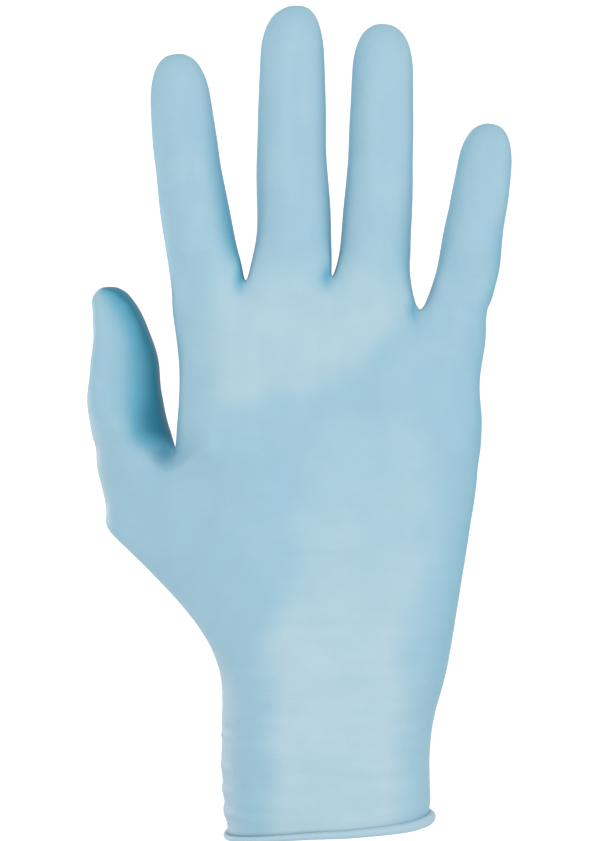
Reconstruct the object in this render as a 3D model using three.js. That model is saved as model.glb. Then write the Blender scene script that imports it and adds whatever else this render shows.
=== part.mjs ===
// A disposable nitrile exam glove in the form that it has on a right hand: one dipped film with four
// fingers, a thumb, a palm and a narrow cuff, whose edge is rolled outwards into a bead.
// Millimetres. +Z runs to the fingertips, +X to the little finger and +Y to the palm side. The origin
// is the centre of the wrist opening, level with the lowest point of the bead.
import * as THREE from "three";

// Driving sizes.
const FILM = 1.0; // wall of the dipped film
const BEAD = 3.2; // diameter of the rolled edge
const BEAD_STANDS_OUT = 0.7; // from the film's outside to the bead's centre
const FILM_START = 0.97 * BEAD; // height at which the film leaves the bead
const RIM_RISE = 4.9; // the rim is this much higher at the little finger's side
const CUFF_HEIGHT = 36; // straight stretch over the wrist
const CUFF_WIDTH = 59.8;
const CUFF_DEPTH = 43;
const CROTCH_HEIGHT = 112; // rim to the crotch of the thumb
const WEB_HEIGHT = 162; // rim to the web between the middle and ring fingers
const PALM_WIDTH = 87.2;
const PALM_DEPTH = 30;
const THUMB_REACH = 66.6; // from the glove's axis to the outside of the thumb at its root
const THUMB_DROP = 11; // how far the thumb lies to the palm side
const THUMB_LENGTH = 47.6; // above its crotch
const THUMB_WIDTH = 22.2;
const THUMB_DEPTH = 21;
const FINGER_LENGTH = 79.4; // of the middle finger, from the webs beside it
const FINGER_WIDTH = 19.8; // of the middle finger, at its middle joint
const FINGER_DEPTH = 17.6; // the same, back to front

// The index, middle, ring and little fingers, in that order.
// Lengths are shares of FINGER_LENGTH and run from root to tip. Widths, and how far a finger bows
// sideways, is shifted sideways near its root and curls to the palm side, are shares of FINGER_WIDTH.
// It leans in degrees. Tip is its fullness at the end, and side how far its tip closes sideways, as a
// share of its half width.
const FINGERS = [
  { length: 0.859, width: 0.95, lean: -8, bow: -0.06, shift: 0, curl: 0.25, tip: 0.98, side: -0.12 },
  { length: 1, width: 1, lean: 0.7, bow: 0.015, shift: 0.06, curl: 0.3, tip: 1, side: 0.22 },
  { length: 0.987, width: 0.945, lean: 1.9, bow: 0.015, shift: -0.025, curl: 0.35, tip: 1.02, side: 0 },
  { length: 0.697, width: 0.84, lean: 11.2, bow: 0.07, shift: 0.06, curl: 0.25, tip: 0.99, side: 0.2 },
].map((finger) => ({
  ...finger,
  length: finger.length * FINGER_LENGTH,
  width: finger.width * FINGER_WIDTH,
}));

// The sides and webs between which the fingers stand: x is a share of PALM_WIDTH, z of WEB_HEIGHT.
// The higher round is, the sooner the fingers beside a web draw in, and the rounder is the web.
const WEBS = [
  { x: -0.513, z: 0.972, round: 2 },
  { x: -0.268, z: 0.992, round: 2.4 },
  { x: 0.016, z: 1.0, round: 2.4 },
  { x: 0.302, z: 0.94, round: 12 },
  { x: 0.532, z: 0.938, round: 3 },
];

// Along a finger, from root to tip. Width is a share of the finger's width, back and front of half of
// FINGER_DEPTH, all before the tip is rounded off.
const FINGER_PROFILE = [
  { at: 0.0, width: 1.15, back: 1.04, front: 1.1 },
  { at: 0.1, width: 1.1, back: 1.0, front: 1.1 },
  { at: 0.2, width: 1.075, back: 0.98, front: 1.06 },
  { at: 0.3, width: 1.065, back: 1.03, front: 0.98 },
  { at: 0.4, width: 1.035, back: 0.97, front: 0.96 },
  { at: 0.5, width: 1.0, back: 0.9, front: 0.99 },
  { at: 0.6, width: 0.995, back: 0.86, front: 0.96 },
  { at: 0.7, width: 0.97, back: 0.88, front: 0.88 },
  { at: 0.8, width: 0.94, back: 0.84, front: 0.93 },
  { at: 0.9, width: 0.91, back: 0.78, front: 0.9 },
  { at: 1.0, width: 0.9, back: 0.72, front: 0.82 },
];

// Along the thumb. Drift is its centre's way out from the palm. Both are shares of THUMB_WIDTH, back
// and front of half of THUMB_DEPTH, all before the tip is rounded off.
const THUMB_PROFILE = [
  { at: 0.0, width: 1.03, drift: 0.02, back: 1.0, front: 1.06 },
  { at: 0.09, width: 1.035, drift: 0.07, back: 1.0, front: 1.02 },
  { at: 0.19, width: 1.02, drift: 0.115, back: 1.0, front: 1.0 },
  { at: 0.28, width: 1.01, drift: 0.147, back: 1.02, front: 1.0 },
  { at: 0.37, width: 0.965, drift: 0.16, back: 1.0, front: 1.0 },
  { at: 0.46, width: 0.925, drift: 0.157, back: 0.96, front: 1.0 },
  { at: 0.56, width: 0.885, drift: 0.16, back: 0.92, front: 0.98 },
  { at: 0.65, width: 0.8, drift: 0.175, back: 0.9, front: 0.95 },
  { at: 0.74, width: 0.725, drift: 0.213, back: 0.88, front: 0.92 },
  { at: 0.84, width: 0.66, drift: 0.26, back: 0.86, front: 0.9 },
  { at: 0.93, width: 0.655, drift: 0.305, back: 0.84, front: 0.88 },
  { at: 1.0, width: 0.65, drift: 0.285, back: 0.8, front: 0.86 },
];

// Across the rim, from the thumb's side to the little finger's: rise is a share of RIM_RISE.
const RIM_ROWS = [
  { at: 0.0, rise: 0.0 },
  { at: 0.18, rise: 0.2 },
  { at: 0.4, rise: 0.44 },
  { at: 0.58, rise: 0.51 },
  { at: 0.7, rise: 0.61 },
  { at: 0.81, rise: 0.69 },
  { at: 0.9, rise: 0.77 },
  { at: 1.0, rise: 1.0 },
];

// From the rim to the cuff's top. Widths are shares of CUFF_WIDTH, depths of CUFF_DEPTH.
const CUFF_ROWS = [
  { at: 0.0, thumb: 0.485, little: 0.48, back: 0.49, front: 0.49 },
  { at: 0.12, thumb: 0.49, little: 0.497, back: 0.5, front: 0.5 },
  { at: 0.5, thumb: 0.507, little: 0.494, back: 0.49, front: 0.495 },
  { at: 0.8, thumb: 0.507, little: 0.505, back: 0.478, front: 0.485 },
  { at: 1.0, thumb: 0.506, little: 0.526, back: 0.468, front: 0.475 },
];

// From the cuff's top to the thumb's crotch. Thumb, little and depth say how much of the way each
// edge has gone from the cuff to THUMB_REACH, to PALM_WIDTH and to PALM_DEPTH, and drop is a share
// of THUMB_DROP.
const HEEL_ROWS = [
  { at: 0.0, thumb: 0.01, little: 0.115, depth: 0.2, drop: 0.0 },
  { at: 0.14, thumb: 0.022, little: 0.31, depth: 0.27, drop: 0.03 },
  { at: 0.26, thumb: 0.112, little: 0.43, depth: 0.36, drop: 0.12 },
  { at: 0.37, thumb: 0.265, little: 0.53, depth: 0.46, drop: 0.28 },
  { at: 0.49, thumb: 0.49, little: 0.635, depth: 0.58, drop: 0.48 },
  { at: 0.6, thumb: 0.722, little: 0.735, depth: 0.69, drop: 0.68 },
  { at: 0.7, thumb: 0.922, little: 0.82, depth: 0.79, drop: 0.84 },
  { at: 0.78, thumb: 0.905, little: 0.88, depth: 0.86, drop: 0.92 },
  { at: 0.89, thumb: 0.905, little: 0.96, depth: 0.94, drop: 0.98 },
  { at: 1.0, thumb: 1.0, little: 1.015, depth: 1.0, drop: 1.0 },
];

// From the thumb's crotch to the webs. Widths are shares of half of PALM_WIDTH, depths of half of
// PALM_DEPTH.
const PALM_ROWS = [
  { at: 0.0, index: 1.0, little: 1.015, back: 1.0, front: 1.0 },
  { at: 0.18, index: 0.982, little: 1.022, back: 0.98, front: 0.99 },
  { at: 0.42, index: 0.962, little: 0.99, back: 0.94, front: 0.96 },
  { at: 0.62, index: 0.945, little: 0.996, back: 0.87, front: 0.91 },
  { at: 0.82, index: 0.958, little: 1.024, back: 0.76, front: 0.82 },
  { at: 1.0, index: 1.026, little: 1.07, back: 0.64, front: 0.72 },
];

// Soft swellings and hollows of the palm and back: x and wide are shares of PALM_WIDTH, z and tall
// of WEB_HEIGHT, and rise of PALM_DEPTH.
const SWELLINGS = [
  { name: "thumb pad", side: "front", x: -0.4, z: 0.49, wide: 0.27, tall: 0.23, rise: 0.22 },
  { name: "heel pad", side: "front", x: 0.3, z: 0.4, wide: 0.2, tall: 0.22, rise: 0.13 },
  { name: "palm hollow", side: "front", x: -0.02, z: 0.6, wide: 0.2, tall: 0.14, rise: -0.1 },
  { name: "index knuckle", side: "back", x: -0.38, z: 0.86, wide: 0.1, tall: 0.06, rise: 0.07 },
  { name: "middle knuckle", side: "back", x: -0.12, z: 0.885, wide: 0.1, tall: 0.06, rise: 0.07 },
  { name: "ring knuckle", side: "back", x: 0.14, z: 0.865, wide: 0.1, tall: 0.06, rise: 0.06 },
  { name: "little knuckle", side: "back", x: 0.39, z: 0.81, wide: 0.1, tall: 0.06, rise: 0.05 },
];

// Gathers of the loose film at the thumb's side of the cuff: at is a share of CUFF_HEIGHT, and out
// of FILM.
const GATHERS = [
  { at: 0.17, out: -0.2 },
  { at: 0.25, out: 0.5 },
  { at: 0.33, out: -0.35 },
  { at: 0.41, out: 0.4 },
  { at: 0.49, out: -0.3 },
  { at: 0.57, out: 0.2 },
];

// The net of the film. A ring has its back columns from the thumb's side to the little finger's,
// one point at that side, its front columns back again, and one point at the thumb's side.
const PER_FINGER = 4; // columns over one finger, or over the thumb
const BACK_COLUMNS = PER_FINGER * (FINGERS.length + 1);
const CUFF_FLATNESS = 2.5; // exponent of the cuff's section
const PALM_FLATNESS = 3.2; // exponent of the palm's section, which is flat and full at its edges
const SIDE_ANGLE = Math.PI / 6; // from a finger's side to its first back or front column
const RIM_SIDE_ANGLE = Math.PI / 14; // the same at the rim
const CUFF_LEVELS = 12;
const HEEL_CORNER = 0.7; // share of the heel's height where the thumb's base turns
const HEEL_LEVELS = [11, 5]; // below and above that corner
const PALM_LEVELS = 9;
const TIP_LENGTH = 0.78; // a rounded tip's length as a share of its finger's width
const TIP_BLUNTNESS = 2.4; // exponent of its outline
const THUMB_TIP = 0.66; // the thumb's width where its tip begins, as a share of THUMB_WIDTH
const ROOT_EASE = 0.24; // share of a limb's length over which its root eases into its ovals
const TIP_FADE = [0.6, 1]; // shares of a finger's length between which it takes its tip's fullness
const SHIFT_FADE = [0.15, 0.48]; // shares of a finger's length between which its shift fades
const WEB_SADDLE = 1.2; // a web's middle stands this much above its back and front
const CROTCH_SADDLE = 3; // the same at the thumb's crotch
const RIM_FADE = 1.6; // the rim's tilt dies out over this many heights of the cuff
const FAN = [0.2, 1]; // shares of the way to the crotch between which the columns spread out
const SIDE_JOIN = 0.76; // share of the way to the crotch where a side takes the shape of its roots
const CROTCH_JOIN = 0.9; // the same under the crotch
const CROTCH_COLUMNS = 2; // columns over which the thumb's root passes into the palm's
const PALM_KNIT = [0.72, 1]; // shares of the palm's length between which it takes the fingers' shape
const EDGE_KNIT = [0.25, 1]; // the same along its edges
const EDGE_LEVEL = [0, 0.4]; // the same, between which its thumb's edge comes back to the middle
const EDGE_INSET = 0.02; // of PALM_WIDTH, from the palm's edge to its outermost columns
const EDGE_SHARE = 0.004; // least distance of a column from the palm's edge, as a share of the palm
const WEB_FULLNESS = 0.35; // how far a web's back and front keep to the flat of the palm
const CAMBER_REACH = 0.5; // share of the hand's width over which the thumb's drop dies out
const CAMBER_EASE = 1.5; // exponent of the same
const THUMB_CURL = 0.25; // of THUMB_DROP, how much further the thumb's tip lies to the palm side
const THUMB_TIP_LEAN = -0.35; // of its half width, how far its tip closes towards the outside
const THUMB_ROUND = 2; // how soon it draws in at its sides, as a web's round
const EVEN_ROUNDS = 5; // how often the depths below the thumb's crotch are evened out
const EVEN_HEEL = 5; // rings that this takes in
const GATHER_REACH = 0.3; // share of the way from the cuff's edge over which its gathers die out
const FINGER_RINGS = 12; // below the rounded tip
const THUMB_RINGS = 10;
const TIP_RINGS = [0.27, 0.52, 0.72, 0.86, 0.95]; // shares of the rounded tip's length
const BEAD_RINGS = 7;

const mix = THREE.MathUtils.lerp;
const smooth = THREE.MathUtils.smoothstep;

// One column of a table at a given place: a smooth curve through the rows.
function read(rows, column, at) {
  const last = rows.length - 1;
  const slope = (n) => {
    const [a, b] = [rows[Math.max(n - 1, 0)], rows[Math.min(n + 1, last)]];
    return (b[column] - a[column]) / (b.at - a.at);
  };
  if (at <= rows[0].at) return rows[0][column];
  if (at >= rows[last].at) return rows[last][column];
  const n = rows.findIndex((row) => row.at > at) - 1;
  const [low, high] = [rows[n], rows[n + 1]];
  const span = high.at - low.at;
  const t = (at - low.at) / span;
  const bend = t * (1 - t) * span;
  const straight = mix(low[column], high[column], t * t * (3 - 2 * t));
  return straight + bend * ((1 - t) * slope(n) - t * slope(n + 1));
}

// The hand's section at a height: the places of its edges, its half depths and the thumb's drop.
function sectionAt(z) {
  const half = { cuff: CUFF_DEPTH / 2, palm: PALM_DEPTH / 2 };
  if (z < CUFF_HEIGHT) {
    const of = (column) => read(CUFF_ROWS, column, z / CUFF_HEIGHT);
    return {
      left: -of("thumb") * CUFF_WIDTH,
      right: of("little") * CUFF_WIDTH,
      back: of("back") * CUFF_DEPTH,
      front: of("front") * CUFF_DEPTH,
      drop: 0,
      flatness: CUFF_FLATNESS,
    };
  }
  if (z < CROTCH_HEIGHT) {
    const of = (column) => read(HEEL_ROWS, column, (z - CUFF_HEIGHT) / (CROTCH_HEIGHT - CUFF_HEIGHT));
    const depth = mix(half.cuff, half.palm, of("depth"));
    return {
      left: -mix(CUFF_WIDTH / 2, THUMB_REACH, of("thumb")),
      right: mix(CUFF_WIDTH / 2, PALM_WIDTH / 2, of("little")),
      back: depth,
      front: depth,
      drop: THUMB_DROP * of("drop"),
      flatness: mix(CUFF_FLATNESS, PALM_FLATNESS, of("depth")),
    };
  }
  return palmSectionAt(z);
}

// The section of the palm alone, without the thumb.
function palmSectionAt(z) {
  const of = (column) => read(PALM_ROWS, column, (z - CROTCH_HEIGHT) / (WEB_HEIGHT - CROTCH_HEIGHT));
  return {
    left: (-of("index") * PALM_WIDTH) / 2,
    right: (of("little") * PALM_WIDTH) / 2,
    back: (of("back") * PALM_DEPTH) / 2,
    front: (of("front") * PALM_DEPTH) / 2,
    drop: 0,
    flatness: PALM_FLATNESS,
  };
}

function swelling(x, z, side) {
  return SWELLINGS.filter((pad) => pad.side === side).reduce((sum, pad) => {
    const across = (x / PALM_WIDTH - pad.x) / pad.wide;
    const along = (z / WEB_HEIGHT - pad.z) / pad.tall;
    return sum + pad.rise * PALM_DEPTH * Math.exp(-across * across - along * along);
  }, 0);
}

// A point of a section: u runs from the thumb's edge, 0, to the little finger's edge, 1.
function skinPoint(section, z, u, side) {
  const x = mix(section.left, section.right, u);
  const round = (1 - Math.abs(2 * u - 1) ** section.flatness) ** (1 / section.flatness);
  const camber = section.drop * (1 - smooth(u, 0, CAMBER_REACH)) ** CAMBER_EASE;
  const out = section[side] * round + swelling(x, z, side) * Math.sqrt(round);
  return new THREE.Vector3(x, camber + (side === "back" ? -out : out), z);
}

// How far a limb is drawn in at a share of its rounded tip.
const tipRound = (share) => (1 - share ** TIP_BLUNTNESS) ** (1 / TIP_BLUNTNESS);

// A point of an oval round a limb: angles run from the little finger's side over the palm side.
function ovalPoint(oval, angle) {
  const y = Math.sin(angle);
  return oval.centre
    .clone()
    .addScaledVector(oval.across, (Math.cos(angle) * oval.width) / 2)
    .addScaledVector(oval.forward, y * (y < 0 ? oval.back : oval.front));
}

// The angles of a limb's ring in the net's order.
const limbAngles = [];
for (let k = 0; k <= PER_FINGER; k++)
  limbAngles.push(mix(-Math.PI + SIDE_ANGLE, -SIDE_ANGLE, k / PER_FINGER));
limbAngles.push(0);
for (let k = PER_FINGER; k >= 0; k--)
  limbAngles.push(mix(Math.PI - SIDE_ANGLE, SIDE_ANGLE, k / PER_FINGER));
limbAngles.push(Math.PI);

const webs = WEBS.map((web) => ({ ...web, x: web.x * PALM_WIDTH, z: web.z * WEB_HEIGHT }));

// The oval of a finger at a share of its length.
function fingerOval(finger, n, at) {
  const root = new THREE.Vector3((webs[n].x + webs[n + 1].x) / 2, 0, (webs[n].z + webs[n + 1].z) / 2);
  const lean = THREE.MathUtils.degToRad(finger.lean);
  const along = new THREE.Vector3(Math.sin(lean), 0, Math.cos(lean));
  const across = new THREE.Vector3(Math.cos(lean), 0, -Math.sin(lean));
  const centre = root.addScaledVector(along, at * finger.length);
  const shift = finger.shift * (1 - smooth(at, ...SHIFT_FADE));
  centre.addScaledVector(across, FINGER_WIDTH * (4 * at * (1 - at) * finger.bow + shift));
  centre.y = FINGER_WIDTH * finger.curl * at * at;
  const curl = Math.atan((2 * at * finger.curl * FINGER_WIDTH) / finger.length);
  return {
    centre,
    across,
    forward: new THREE.Vector3(0, Math.cos(curl), 0).addScaledVector(along, -Math.sin(curl)),
    width: finger.width * read(FINGER_PROFILE, "width", at) * mix(1, finger.tip, smooth(at, ...TIP_FADE)),
    back: (FINGER_DEPTH / 2) * read(FINGER_PROFILE, "back", at),
    front: (FINGER_DEPTH / 2) * read(FINGER_PROFILE, "front", at),
  };
}

// The oval of the thumb at a share of its length.
function thumbOval(at) {
  const root = -THUMB_REACH + THUMB_WIDTH / 2;
  return {
    centre: new THREE.Vector3(
      root - read(THUMB_PROFILE, "drift", at) * THUMB_WIDTH,
      THUMB_DROP * (1 + THUMB_CURL * at * at),
      CROTCH_HEIGHT + at * THUMB_LENGTH,
    ),
    across: new THREE.Vector3(1, 0, 0),
    forward: new THREE.Vector3(0, 1, 0),
    width: THUMB_WIDTH * read(THUMB_PROFILE, "width", at),
    back: (THUMB_DEPTH / 2) * read(THUMB_PROFILE, "back", at),
    front: (THUMB_DEPTH / 2) * read(THUMB_PROFILE, "front", at),
  };
}

// The net: points, and faces of four corners each, whose outside is seen anticlockwise.
const points = [];
const quads = [];
const add = (point) => points.push(point) - 1;
const addRing = (ring) => ring.map(add);

function stitch(lower, upper) {
  lower.forEach((_, n) => {
    const next = (n + 1) % lower.length;
    quads.push([lower[n], lower[next], upper[next], upper[n]]);
  });
}

// Evens out the depths of the last rings of a row but its last, which stays.
function evenOut(rings, count) {
  const first = rings.length - 1 - count;
  for (let round = 0; round < EVEN_ROUNDS; round++) {
    const depths = rings.slice(first, -1).map((ring, n) =>
      ring.map((index, k) => {
        const beside = [ring.at(k - 1), ring[(k + 1) % ring.length]];
        const around = [...beside, rings[first + n - 1][k], rings[first + n + 1][k]];
        const mean = around.reduce((sum, other) => sum + points[other].y, 0) / around.length;
        return (points[index].y + mean) / 2;
      }),
    );
    rings.slice(first, -1).forEach((ring, n) =>
      ring.forEach((index, k) => {
        points[index].y = depths[n][k];
      }),
    );
  }
}

// Places of the back columns across the hand, as shares of its width, for the rim and for the roots
// of the thumb and fingers. Front columns have the same places.
const columns = Array.from({ length: BACK_COLUMNS + 1 }, (_, n) => n);
const rimShare = (n) =>
  (1 - Math.cos(mix(RIM_SIDE_ANGLE, Math.PI - RIM_SIDE_ANGLE, n / BACK_COLUMNS))) / 2;
const rootWidth = (THUMB_WIDTH / 2) * Math.cos(SIDE_ANGLE);

function crotchX(n) {
  const thumb = -THUMB_REACH + THUMB_WIDTH / 2;
  const palm = palmSectionAt(CROTCH_HEIGHT);
  const side = EDGE_INSET * PALM_WIDTH;
  if (n <= PER_FINGER) return thumb + rootWidth * mix(-1, 1, n / PER_FINGER);
  return mix(palm.left + side, palm.right - side, (n - PER_FINGER) / (BACK_COLUMNS - PER_FINGER));
}

function webX(n) {
  const finger = Math.min(Math.floor((n - PER_FINGER) / PER_FINGER), FINGERS.length - 1);
  const k = (n - PER_FINGER) / PER_FINGER - finger;
  const outer = ((1 - Math.cos(SIDE_ANGLE)) * (webs[finger + 1].x - webs[finger].x)) / 2;
  const low = webs[finger].x + (finger === 0 ? outer : 0);
  const high = webs[finger + 1].x - (finger === FINGERS.length - 1 ? outer : 0);
  return mix(low, high, k);
}

function webZ(n) {
  const place = (n - PER_FINGER) / PER_FINGER;
  const finger = Math.min(Math.floor(place), FINGERS.length - 1);
  return mix(webs[finger].z, webs[finger + 1].z, place - finger);
}

// A ring of the wide part below the thumb's crotch.
function heelRing(z, along) {
  const section = sectionAt(z);
  const rimFade = 1 - smooth(z, 0, CUFF_HEIGHT * RIM_FADE);
  const rimTilt = (x) => RIM_RISE * read(RIM_ROWS, "rise", x / CUFF_WIDTH + 0.5) * rimFade;
  const fan = smooth(along, ...FAN);
  const gather = read([{ at: 0, out: 0 }, ...GATHERS, { at: 1, out: 0 }], "out", z / CUFF_HEIGHT);
  const joinAt = (n) => {
    const nearCrotch = Math.max(0, 1 - Math.abs(n - PER_FINGER) / PER_FINGER);
    return smooth(along, mix(SIDE_JOIN, CROTCH_JOIN, nearCrotch), 1);
  };
  const upper = palmSectionAt(Math.max(z, CROTCH_HEIGHT));
  const place = (n, side) => {
    const wideU = mix(rimShare(n), (crotchX(n) + THUMB_REACH) / (PALM_WIDTH / 2 + THUMB_REACH), fan);
    const point = skinPoint(section, z, wideU, side);
    const angle = mix(Math.PI - SIDE_ANGLE, SIDE_ANGLE, n / PER_FINGER) * (side === "back" ? -1 : 1);
    const onThumb = ovalPoint(thumbOval(0), angle);
    const u = (crotchX(n) - upper.left) / (upper.right - upper.left);
    const onPalm = skinPoint(upper, CROTCH_HEIGHT, Math.max(u, 0), side);
    const root = onThumb.lerp(onPalm, THREE.MathUtils.clamp((n - PER_FINGER) / CROTCH_COLUMNS + 0.5, 0, 1));
    root.z = z - (n === PER_FINGER ? CROTCH_SADDLE : 0);
    return point.lerp(root, joinAt(n));
  };
  const middle = (u) => skinPoint(section, z, u, "back");
  const ring = [
    ...columns.map((n) => place(n, "back")),
    middle(1),
    ...columns.toReversed().map((n) => place(n, "front")),
    middle(0).lerp(ovalPoint(thumbOval(0), Math.PI).setZ(z), joinAt(0)),
  ];
  return ring.map((point) => {
    const side = 1 - smooth(point.x, section.left, section.left * GATHER_REACH);
    point.x -= gather * FILM * side;
    point.z += rimTilt(point.x);
    return point;
  });
}

// Rings from the rim to the crotch.
const levels = [];
for (let n = 0; n <= CUFF_LEVELS; n++) levels.push(mix(FILM_START, CUFF_HEIGHT, n / CUFF_LEVELS));
const cornerHeight = mix(CUFF_HEIGHT, CROTCH_HEIGHT, HEEL_CORNER);
const [below, above] = HEEL_LEVELS;
for (let n = 1; n <= below; n++) levels.push(mix(CUFF_HEIGHT, cornerHeight, n / below));
for (let n = 1; n <= above; n++) levels.push(mix(cornerHeight, CROTCH_HEIGHT, n / above));
const heel = levels.map((z) => addRing(heelRing(z, (z - FILM_START) / (CROTCH_HEIGHT - FILM_START))));
evenOut(heel, EVEN_HEEL);
heel.slice(1).forEach((ring, n) => stitch(heel[n], ring));

// The crotch ring parts into the thumb's ring and the palm's ring, which share a line of three points.
const crotch = heel.at(-1);
const back = crotch.slice(0, BACK_COLUMNS + 1);
const littleSide = crotch[BACK_COLUMNS + 1];
const front = crotch.slice(BACK_COLUMNS + 2, 2 * BACK_COLUMNS + 3).reverse();
const thumbSide = crotch.at(-1);
const crotchMiddle = add(
  points[back[PER_FINGER]]
    .clone()
    .lerp(points[front[PER_FINGER]], 0.5)
    .setX(-PALM_WIDTH / 2)
    .setZ(CROTCH_HEIGHT),
);

function limbRing(from, to, backs, fronts, right, left) {
  return [...backs.slice(from, to + 1), right, ...fronts.slice(from, to + 1).reverse(), left];
}

// A limb grows from its root ring, eases into its own ovals and closes in a cap of eight faces.
// Left and right say how soon it draws in above the webs at its sides.
function growLimb(rootRing, ovalAt, limb) {
  const first = limbAngles.map((angle) => ovalPoint(ovalAt(0), angle));
  const drawsIn = limbAngles.map((angle) => mix(limb.left, limb.right, (Math.cos(angle) + 1) / 2));
  const offsets = rootRing.map((index, n) => points[index].clone().sub(first[n]));
  const tipShare = (TIP_LENGTH * limb.width) / limb.length;
  const tipAt = (share) => 1 - tipShare * (1 - share);
  const rings = Array.from({ length: limb.rings }, (_, n) => ({
    at: tipAt(0) * ((n + 1) / limb.rings),
    drawn: 1,
  }));
  TIP_RINGS.forEach((share) => rings.push({ at: tipAt(share), drawn: tipRound(share) }));
  let lower = rootRing;
  for (const { at, drawn } of rings) {
    const oval = ovalAt(at);
    oval.centre.addScaledVector(oval.across, (limb.tipLean * oval.width * (1 - drawn)) / 2);
    oval.width *= drawn;
    oval.back *= drawn;
    oval.front *= drawn;
    const toGo = Math.max(0, 1 - at / ROOT_EASE);
    const ring = addRing(
      limbAngles.map((angle, n) =>
        ovalPoint(oval, angle).addScaledVector(offsets[n], toGo ** drawsIn[n]),
      ),
    );
    stitch(lower, ring);
    lower = ring;
  }
  closeCap(lower, (share) => ovalAt(tipAt(share)));
}

// Eight faces over a ring of twelve: the sides hold one point each and the back and front five.
function closeCap(ring, tipOval) {
  const last = TIP_RINGS.at(-1);
  const backs = ring.slice(0, PER_FINGER + 1);
  const right = ring[PER_FINGER + 1];
  const fronts = ring.slice(PER_FINGER + 2, 2 * PER_FINGER + 3).reverse();
  const left = ring.at(-1);
  const base = tipOval(last).centre;
  const rise = tipOval(1).centre.sub(base).divideScalar(1 - last);
  const middles = [left];
  for (let k = 1; k < PER_FINGER; k++) {
    const across = Math.abs((2 * k) / PER_FINGER - 1) * tipRound(last);
    const share = (1 - across ** TIP_BLUNTNESS) ** (1 / TIP_BLUNTNESS);
    const flat = points[left].clone().lerp(points[right], k / PER_FINGER);
    middles.push(add(flat.addScaledVector(rise, share - last)));
  }
  middles.push(right);
  for (let k = 0; k < PER_FINGER; k++) {
    quads.push([backs[k], backs[k + 1], middles[k + 1], middles[k]]);
    quads.push([middles[k], middles[k + 1], fronts[k + 1], fronts[k]]);
  }
}

growLimb(limbRing(0, PER_FINGER, back, front, crotchMiddle, thumbSide), thumbOval, {
  length: THUMB_LENGTH,
  width: THUMB_WIDTH * THUMB_TIP,
  rings: THUMB_RINGS,
  tipLean: THUMB_TIP_LEAN,
  left: THUMB_ROUND,
  right: THUMB_ROUND,
});

// Rings of the palm from the crotch to the webs, where the points of its last ring are the roots of
// the fingers.
const fingerColumns = columns.slice(PER_FINGER);
function palmRing(t) {
  const knit = smooth(t, ...PALM_KNIT);
  const edgeKnit = smooth(t, ...EDGE_KNIT);
  const palm = palmSectionAt(CROTCH_HEIGHT);
  const place = (n, side) => {
    const z = mix(CROTCH_HEIGHT, webZ(n), t);
    const section = palmSectionAt(z);
    const crotchU = (crotchX(n) - palm.left) / (palm.right - palm.left);
    const top = palmSectionAt(webZ(n));
    const webU = (webX(n) - top.left) / (top.right - top.left);
    const u = THREE.MathUtils.clamp(mix(crotchU, webU, t), EDGE_SHARE, 1 - EDGE_SHARE);
    const point = skinPoint(section, z, u, side);
    const finger = Math.min(Math.floor((n - PER_FINGER) / PER_FINGER), FINGERS.length - 1);
    const k = n - PER_FINGER - finger * PER_FINGER;
    const angle = mix(Math.PI - SIDE_ANGLE, SIDE_ANGLE, k / PER_FINGER) * (side === "back" ? -1 : 1);
    const root = ovalPoint(fingerOval(FINGERS[finger], finger, 0), angle);
    root.x = webX(n);
    const isWeb = k % PER_FINGER === 0 && n > PER_FINGER && n < BACK_COLUMNS;
    root.z = webZ(n) - (isWeb ? WEB_SADDLE : 0);
    if (isWeb) root.y = mix(root.y, skinPoint(top, z, webU, side).y, WEB_FULLNESS);
    return point.lerp(root, knit).setZ(mix(CROTCH_HEIGHT, root.z, t));
  };
  const edge = (n, web) => {
    const z = mix(CROTCH_HEIGHT, webs[web].z, t);
    const section = palmSectionAt(z);
    const point = new THREE.Vector3(n === 0 ? section.left : section.right, 0, z);
    return point.setX(mix(point.x, webs[web].x, edgeKnit));
  };
  const left = edge(0, 0);
  left.y = mix(points[crotchMiddle].y, 0, smooth(t, ...EDGE_LEVEL));
  return [
    ...fingerColumns.map((n) => place(n, "back")),
    edge(1, webs.length - 1),
    ...fingerColumns.toReversed().map((n) => place(n, "front")),
    left,
  ];
}

const palmRings = [limbRing(PER_FINGER, BACK_COLUMNS, back, front, littleSide, crotchMiddle)];
for (let n = 1; n <= PALM_LEVELS; n++) palmRings.push(addRing(palmRing(n / PALM_LEVELS)));
palmRings.slice(1).forEach((ring, n) => stitch(palmRings[n], ring));

const palm = palmRings.at(-1);
const palmBack = palm.slice(0, fingerColumns.length);
const palmFront = palm.slice(fingerColumns.length + 1, 2 * fingerColumns.length + 1).reverse();
const webPoints = webs.map((web, n) => {
  if (n === 0) return palm.at(-1);
  if (n === webs.length - 1) return palm[fingerColumns.length];
  return add(new THREE.Vector3(web.x, 0, web.z));
});
FINGERS.forEach((finger, n) => {
  const [from, to] = [n * PER_FINGER, (n + 1) * PER_FINGER];
  growLimb(
    limbRing(from, to, palmBack, palmFront, webPoints[n + 1], webPoints[n]),
    (at) => fingerOval(finger, n, at),
    {
      length: finger.length,
      width: finger.width,
      rings: FINGER_RINGS,
      tipLean: finger.side,
      left: webs[n].round,
      right: webs[n + 1].round,
    },
  );
});

// The film's inside lies one wall inside its outside, measured along the outside's normals.
function normals() {
  const sums = points.map(() => new THREE.Vector3());
  for (const [a, b, c, d] of quads) {
    const face = new THREE.Vector3()
      .subVectors(points[c], points[a])
      .cross(new THREE.Vector3().subVectors(points[d], points[b]));
    [a, b, c, d].forEach((corner) => sums[corner].add(face));
  }
  return sums.map((sum) => sum.normalize());
}

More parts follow.
